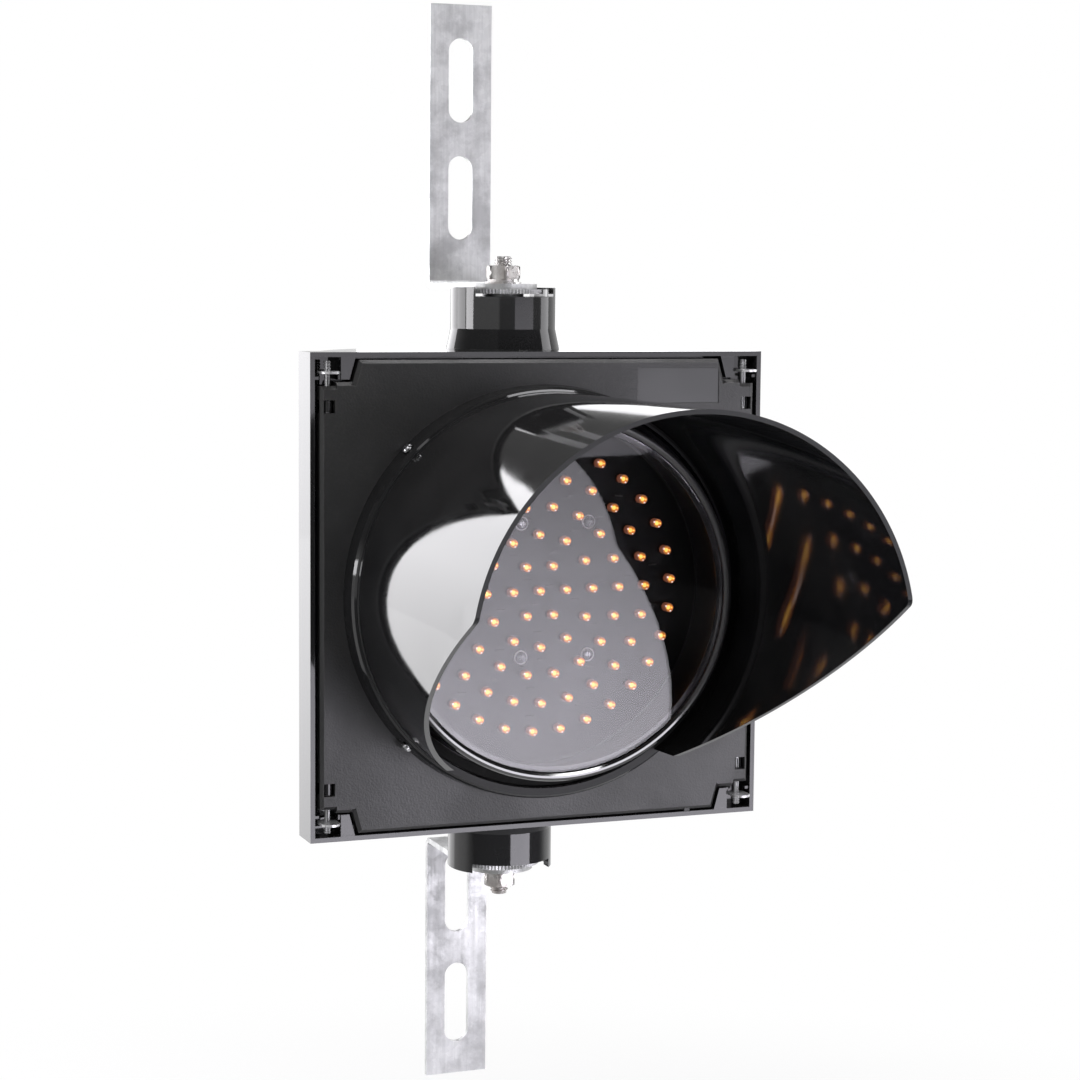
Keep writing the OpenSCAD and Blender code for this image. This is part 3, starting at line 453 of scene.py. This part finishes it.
def makeLens(look):
    low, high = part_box("lens")
    radius = (high.x - low.x) / 2
    sphere = (radius * radius + look["dome"] ** 2) / (2 * look["dome"])
    middle = (low.z + high.z) / 2
    bm = bmesh.new()
    front, back = [], []
    for i in range(look["rings"] + 1):
        across = radius * i / look["rings"]
        sag = sphere - math.sqrt(sphere * sphere - across * across)
        front.append(bm.verts.new((across, low.y + sag, middle)))
        back.append(bm.verts.new((across, low.y + look["thick"] + sag, middle)))
    profile = front + back[::-1]
    edges = [bm.edges.new(pair) for pair in zip(profile, profile[1:])]
    bmesh.ops.spin(bm, geom=profile + edges, cent=(0.0, 0.0, middle), axis=(0.0, 1.0, 0.0), angle=2 * math.pi,
                   steps=look["steps"], use_merge=True)
    bmesh.ops.remove_doubles(bm, verts=bm.verts, dist=1e-7)
    bmesh.ops.recalc_face_normals(bm, faces=bm.faces)
    piece = makePiece("lensDisc", bm, [lensFinish(look)], "door", 40.0)
    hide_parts("lens")


makeLens(lensForm)

# the lit bodies inside the domes: an amber cup with a bright chip in its bowl; the cup's outside glows
# pinkish as a painted glow of the lit body, the pale posts as painted highlights
cups = {"rings": 5, "pitch": 0.01515, "phase": 1.0, "outerPhase": 3.2,
        "foot": 0.0013, "rim": 0.00185, "tall": 0.005, "behindTip": 0.0027, "sides": 12,
        "wall": 0.0004, "bowl": 0.00075, "deep": 0.0003, "pad": 0.00045,
        # bonding pads and the posts, the pale posts being painted highlights: across, up, times the pad's
        # size, material
        "pads": ((0.00105, -0.0001, 1.0, 2), (-0.0013, 0.0006, 1.5, 3), (0.0007, -0.0012, 1.0, 3)),
        # materials in order, each with its colour and glow
        "lit": {"amberCupPaintedGlow": ((0.62, 0.26, 0.17), 0.28), "amberBowl": ((0.95, 0.36, 0.06), 0.5),
                "amberChip": ((1.0, 0.56, 0.12), 1.9), "paintedHighlightPost": ((1.0, 0.8, 0.76), 1.4)},
        "deeper": 0.72}


def diodeSpots(look):
    spots = []
    for ring in range(look["rings"] + 1):
        count = max(1, 6 * ring)
        reach = ring * look["pitch"]
        phase = look["outerPhase"] if ring == look["rings"] else look["phase"]
        for i in range(count):
            a = math.radians(phase + i * 360.0 / count)
            spots.append(Vector((reach * math.cos(a), 0.0, lensHeight + reach * math.sin(a))))
    return spots


def glowFinish(name, colour, strength, deeper):
    material, tree, shader = newMaterial(name)
    cloud = noiseAt(tree, whereOn(tree), 900.0, 1.0)
    dark = tuple(deeper * c for c in colour)
    shade = tint(tree, spread(tree, cloud, 0.3, 0.7), rgba(dark), rgba(colour))
    tree.links.new(shade, shader.inputs["Base Color"])
    tree.links.new(shade, shader.inputs["Emission Color"])
    tree.links.new(spread(tree, cloud, 0.3, 0.7, 0.3, 0.5), shader.inputs["Roughness"])
    setShader(shader, {"Emission Strength": strength})
    return material


def makeCups(look):
    bm = bmesh.new()
    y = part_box("diodes")[0].y + look["behindTip"] + look["tall"] / 2
    front = y - look["tall"] / 2
    for spot in diodeSpots(look):
        where = Matrix.Translation((spot.x, y, spot.z)) @ Matrix.Rotation(math.radians(90.0), 4, "X")
        made = bmesh.ops.create_cone(bm, cap_ends=True, segments=look["sides"], radius1=look["foot"],
                                     radius2=look["rim"], depth=look["tall"], matrix=where)
        top = min(facesOf(made), key=lambda face: face.calc_center_median().y)
        bmesh.ops.inset_individual(bm, faces=[top], thickness=look["wall"], depth=0.0)
        bowl = bmesh.ops.inset_individual(bm, faces=[top], thickness=look["bowl"], depth=-look["deep"])
        for face in bowl["faces"]:
            face.material_index = 1
        top.material_index = 2
        # pads in the pale material glow as painted highlights on the domes
        for across, up, times, index in look["pads"]:
            where = Matrix.Translation((spot.x + across, front, spot.z + up))
            made = bmesh.ops.create_cube(bm, size=times * look["pad"], matrix=where)
            for face in facesOf(made):
                face.material_index = index
    lit = [glowFinish(name, colour, glow, look["deeper"]) for name, (colour, glow) in look["lit"].items()]
    makePiece("diodeCups", bm, lit, "door", 50.0)


makeCups(cups)

# small parts soldered between the diodes
chips = {"long": 0.0046, "wide": 0.0008, "tall": 0.0009, "bevel": 0.00012, "counts": (3, 5, 8, 11, 13),
         "start": 17.0, "ringTurn": 41.0, "stray": 5.0, "strayStep": 3.7,
         "body": (0.02, 0.018, 0.017), "second": (0.03, 0.028, 0.026), "tin": (0.55, 0.55, 0.56)}


def makeChips(look):
    bm = bmesh.new()
    for ring, count in enumerate(look["counts"]):
        radius = (ring + 0.5) * cups["pitch"]
        for i in range(count):
            stray = look["stray"] * math.sin(look["strayStep"] * i + ring)
            a = math.radians(look["start"] + look["ringTurn"] * ring + i * 360.0 / count + stray)
            x, z = radius * math.cos(a), lensHeight + radius * math.sin(a)
            turn = Matrix.Rotation(math.radians((7 * i + 5 * ring) % 13 - 6), 4, "Y")
            size = Matrix.Diagonal((look["long"], look["tall"], look["wide"], 1.0))
            where = Matrix.Translation((x, boardFace - look["tall"] / 2, z)) @ turn
            made = bmesh.ops.create_cube(bm, size=1.0, matrix=where @ size)
            flat = where.to_3x3().transposed()
            for face in sorted(facesOf(made), key=lambda face: -abs((flat @ face.normal).x))[:2]:
                face.material_index = 1
            bmesh.ops.bevel(bm, geom=edgesOf(made), offset=look["bevel"], segments=1, profile=0.5,
                            affect="EDGES", material=-1)
    body = mouldedFinish("chipBody", dict(doorLook, colour=look["body"], second=look["second"], bump=0.1))
    tin = steelFinish("chipTin", dict(screwLook, colour=look["tin"]))
    makePiece("boardChips", bm, [body, tin], "door")


makeChips(chips)

# bright eyelets round the heads of the board screws
eyelets = {"screwHead": 0.0031, "ring": 0.0034, "wire": 0.0005, "wireSides": 10, "steps": 32}
tinned = dict(screwLook, colour=(0.86, 0.86, 0.88), second=(0.93, 0.93, 0.94), dull=(0.74, 0.74, 0.75),
              worn=(0.95, 0.95, 0.95), roughness=(0.4, 0.5), streaks=0.0, shader={"Metallic": 0.1})


def makeEyelets(look):
    low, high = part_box("board_screws")
    bm = bmesh.new()
    apart = (high.x - low.x) / 2 - look["screwHead"]
    for side in (-1.0, 1.0):
        for up in (low.z + look["screwHead"], high.z - look["screwHead"]):
            middle = Vector(((low.x + high.x) / 2 + side * apart, boardFace - look["wire"], up))
            where = Matrix.Translation(middle + Vector((look["ring"], 0.0, 0.0)))
            made = bmesh.ops.create_circle(bm, segments=look["wireSides"], radius=look["wire"], matrix=where)
            bmesh.ops.spin(bm, geom=made["verts"] + edgesOf(made), cent=middle, axis=(0.0, 1.0, 0.0),
                           angle=2 * math.pi, steps=look["steps"], use_merge=True)
    bmesh.ops.remove_doubles(bm, verts=bm.verts, dist=1e-6)
    bmesh.ops.recalc_face_normals(bm, faces=bm.faces)
    makePiece("screwEyelets", bm, [steelFinish("tinnedRing", tinned)], "door", 60.0)


makeEyelets(eyelets)

# the same nuts, turned on their bolts by so many degrees
nuts = {"upper": 21.5, "lower": 11.5}


def makeNuts(look):
    bm = bmesh.new()
    bm.from_mesh(nodes["swivel_nuts"].data)
    bmesh.ops.remove_doubles(bm, verts=bm.verts, dist=1e-6)
    for end, degrees in look.items():
        verts = [vert for vert in bm.verts if (vert.co.z > 0.0) == (end == "upper")]
        bmesh.ops.rotate(bm, verts=verts, cent=(0.0, swivelY, 0.0),
                         matrix=Matrix.Rotation(math.radians(degrees), 3, "Z"))
    piece = makePiece("turnedNuts", bm, [boltSteel], "wall_bracket", 30.0)
    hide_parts("swivel_nuts")


makeNuts(nuts)

# threaded bolts in place of the plain solids
bolts = {"outer": 0.005, "root": 0.0042, "sides": 40, "tipBevel": 0.0005, "discAndFloor": 0.013,
         "headWide": 0.017, "headTall": 0.0064, "headBevel": 0.0004,
         # the thread: length, rise of a turn, steps in a turn, and the tooth's foot, crest and height
         "threaded": 0.0155, "pitch": 0.0015, "steps": 28, "runOut": 0.0018, "lift": 0.0002,
         "sunk": 0.0002, "short": 0.00003, "crest": (0.0006, 0.0008), "tooth": 0.0014}


def addRod(bm, sides, radius, start, end):
    where = Matrix.Translation((0.0, swivelY, (start + end) / 2))
    return bmesh.ops.create_cone(bm, cap_ends=True, segments=sides, radius1=radius, radius2=radius,
                                 depth=abs(end - start), matrix=where)


def makeBolts(look):
    bm = bmesh.new()
    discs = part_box("lock_discs")
    foot, tall = look["root"] - look["sunk"], look["outer"] - look["short"]
    tooth = [(foot, 0.0), (tall, look["crest"][0]), (tall, look["crest"][1]), (foot, look["tooth"])]
    for side, end in ((1, 1), (-1, 0)):
        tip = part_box("swivel_bolts")[end].z
        seat = discs[end].z - side * look["discAndFloor"]
        threadStart = tip - side * look["threaded"]
        # hexagon head under the neck floor, then the plain shank
        head = addRod(bm, 6, look["headWide"] / math.sqrt(3), seat, seat - side * look["headTall"])
        bmesh.ops.bevel(bm, geom=edgesOf(head), offset=look["headBevel"], segments=1, profile=0.5,
                        affect="EDGES", material=-1)
        addRod(bm, look["sides"], look["outer"], seat, threadStart)
        core = addRod(bm, look["sides"], look["root"], threadStart, tip)
        rim = [edge for edge in edgesOf(core) if all(abs(vert.co.z - tip) < 1e-6 for vert in edge.verts)]
        bmesh.ops.bevel(bm, geom=rim, offset=look["tipBevel"], segments=2, profile=0.5, affect="EDGES",
                        material=-1)
        # one tooth wound up round the core
        bottom = min(tip, threadStart) + look["lift"]
        outline = bm.faces.new([bm.verts.new((r, swivelY, bottom + h)) for r, h in tooth])
        turns = (look["threaded"] - look["runOut"]) / look["pitch"]
        bmesh.ops.spin(bm, geom=[outline], cent=(0.0, swivelY, 0.0), axis=(0.0, 0.0, 1.0),
                       angle=2 * math.pi * turns, dvec=(0.0, 0.0, look["pitch"] / look["steps"]),
                       steps=int(turns * look["steps"]))
    bmesh.ops.recalc_face_normals(bm, faces=bm.faces)
    piece = makePiece("threadedBolts", bm, [boltSteel], "wall_bracket", 25.0)
    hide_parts("swivel_bolts")


makeBolts(bolts)
print("pieces made")

room = {"floorDrop": 0.28, "floorRadius": 6.0, "floorColour": (0.9, 0.9, 0.9), "floorDim": 0.88,
        "dimDepth": (-0.55, 0.5), "shadowRadius": 0.75, "whiteRadius": 1.3, "shadowShare": 0.5,
        "ambient": 0.42, "leftMirror": 0.75, "leftFrom": (-0.42, -0.52),
        "frontMirror": 0.32, "frontFrom": (-0.25, 0.3), "highMirror": 0.16, "highFrom": (0.1, 0.3),
        "aimY": -0.15, "lampColour": (1.0, 0.992, 1.02), "tinted": {"lowRight": (0.995, 0.97, 1.06)}}
# each lamp panel: azimuth from the front toward the right, elevation, distance, width, height,
# and its brightness at the top and at the bottom
panels = {
    "backLeft": (-160.0, 2.0, 1.3, 0.9, 1.1, 4.6, 0.7),
    "backRight": (158.0, 8.0, 1.4, 0.45, 0.5, 1.65, 1.65),
    "leftSide": (-100.0, 5.7, 1.5, 0.5, 0.14, 8.5, 8.5),
    "leftRear": (-126.0, 5.7, 1.5, 0.75, 0.14, 4.0, 4.0),
    "rightSide": (86.0, 5.0, 1.5, 0.7, 1.0, 2.8, 2.8),
    "lowRight": (28.5, -8.0, 1.2, 1.02, 0.66, 1.1, 5.6),
    "overhead": (75.0, 74.0, 1.4, 0.5, 0.5, 6.0, 6.0),
    "frontTop": (26.0, 34.0, 1.5, 0.5, 0.12, 12.0, 12.0),
    "keyTop": (-35.0, 48.0, 1.6, 1.0, 0.8, 1.4, 1.4),
}
white = (1.0, 1.0, 1.0)


# rays that passed clear parts only, without a bounce off anything before
def seenThrough(tree, rays):
    bounced = calc(tree, "ADD", rays["Glossy Depth"], rays["Diffuse Depth"])
    return calc(tree, "MULTIPLY", rays["Is Transmission Ray"], calc(tree, "SUBTRACT", 1.0, bounced))


def mixShaders(tree, factor, a, b):
    return add(tree, "MixShader", None, {0: factor, 1: a.outputs[0], 2: b.outputs[0]})


def makeFloor(look):
    bm = bmesh.new()
    level = cadBox[0][2] - look["floorDrop"]
    bmesh.ops.create_circle(bm, cap_ends=True, segments=96, radius=look["floorRadius"],
                            matrix=Matrix.Translation((0.0, 0.0, level)))
    mesh = bpy.data.meshes.new("studioFloor")
    bm.to_mesh(mesh)
    bm.free()
    floor = bpy.data.objects.new("studioFloor", mesh)
    scene.collection.objects.link(floor)
    material, tree, shader = newMaterial("paleFloor")
    setShader(shader, {"Base Color": rgba(look["floorColour"]), "Roughness": 0.9})
    rays = add(tree, "LightPath").outputs
    # shiny faces see the floor in front of the object in shade
    shade = spread(tree, whereOn(tree, "Y"), *look["dimDepth"], look["floorDim"], 0.0)
    dim = calc(tree, "MULTIPLY", rays["Is Glossy Ray"], shade)
    glow = add(tree, "Emission", None, {"Color": rgba(white), "Strength": calc(tree, "SUBTRACT", 1.0, dim)})
    seen = calc(tree, "MAXIMUM", rays["Is Camera Ray"], rays["Is Glossy Ray"])
    seen = calc(tree, "MAXIMUM", seen, seenThrough(tree, rays))
    # white far away, more of its own shaded colour where the shadow falls
    away = add(tree, "VectorMath", {"operation": "LENGTH"}, {0: whereOn(tree)}).outputs["Value"]
    share = spread(tree, away, look["shadowRadius"], look["whiteRadius"], look["shadowShare"], 1.0)
    mix = mixShaders(tree, calc(tree, "MULTIPLY", seen, share), shader, glow)
    tree.links.new(mix.outputs[0], tree.nodes["Material Output"].inputs["Surface"])
    mesh.materials.append(material)


def makeWorld(look):
    world = bpy.data.worlds.new("studioWorld")
    scene.world = world
    world.use_nodes = True
    tree = world.node_tree
    plain = tree.nodes["Background"]
    setShader(plain, {"Color": rgba(white), "Strength": look["ambient"]})
    backdrop = add(tree, "Background", None, {"Color": rgba(white), "Strength": 1.0})
    # shiny faces see a white room behind and a dimmer one in front and above
    way = add(tree, "SeparateXYZ", None, {0: add(tree, "TexCoord").outputs["Generated"]}).outputs
    left = spread(tree, way["X"], *look["leftFrom"], 0.0, look["leftMirror"])
    front = calc(tree, "ADD", spread(tree, way["Y"], *look["frontFrom"], look["frontMirror"], 1.0), left)
    high = spread(tree, way["Z"], *look["highFrom"], 1.0, look["highMirror"])
    mirror = add(tree, "Background", None, {"Strength": calc(tree, "MULTIPLY", front, high)})
    rays = add(tree, "LightPath").outputs
    lit = mixShaders(tree, rays["Is Glossy Ray"], plain, mirror)
    seen = calc(tree, "MAXIMUM", rays["Is Camera Ray"], seenThrough(tree, rays))
    shown = mixShaders(tree, seen, lit, backdrop)
    tree.links.new(shown.outputs[0], tree.nodes["World Output"].inputs["Surface"])


def makePanel(look, name, azimuth, elevation, distance, width, height, top, bottom):
    az, el = math.radians(azimuth), math.radians(elevation)
    way = Vector((math.sin(az) * math.cos(el), -math.cos(az) * math.cos(el), math.sin(el)))
    light = bpy.data.lights.new(name, "AREA")
    light.shape = "RECTANGLE"
    light.size, light.size_y = width, height
    light.energy = math.pi * width * height
    light.color = look["tinted"].get(name, look["lampColour"])
    light.use_nodes = True
    tree = light.node_tree
    up = add(tree, "SeparateXYZ", None, {0: add(tree, "NewGeometry").outputs["Parametric"]}).outputs["Y"]
    ramp = add(tree, "MapRange", None, {"Value": up, "To Min": bottom, "To Max": top}).outputs["Result"]
    tree.links.new(ramp, tree.nodes["Emission"].inputs["Strength"])
    lamp = bpy.data.objects.new(name, light)
    scene.collection.objects.link(lamp)
    lamp.location = Vector((0.0, look["aimY"], lensHeight)) + way * distance
    lamp.rotation_euler = way.to_track_quat("Z", "Y").to_euler()
    lamp.visible_camera = False


makeFloor(room)
makeWorld(room)
for panelName, values in panels.items():
    makePanel(room, panelName, *values)

view = {"place": (-0.481653, -1.380370, 0.154435), "turn": (1.4694519, -0.0082425, -0.3680295),
        "lens": 84.011, "sensor": 36.0}
camera = bpy.data.objects.new("photoCamera", bpy.data.cameras.new("photoCamera"))
scene.collection.objects.link(camera)
camera.location = view["place"]
camera.rotation_euler = view["turn"]
camera.data.lens = view["lens"]
camera.data.sensor_width = view["sensor"]
scene.camera = camera
scene.view_settings.view_transform = "Standard"
print("room lit, camera placed")
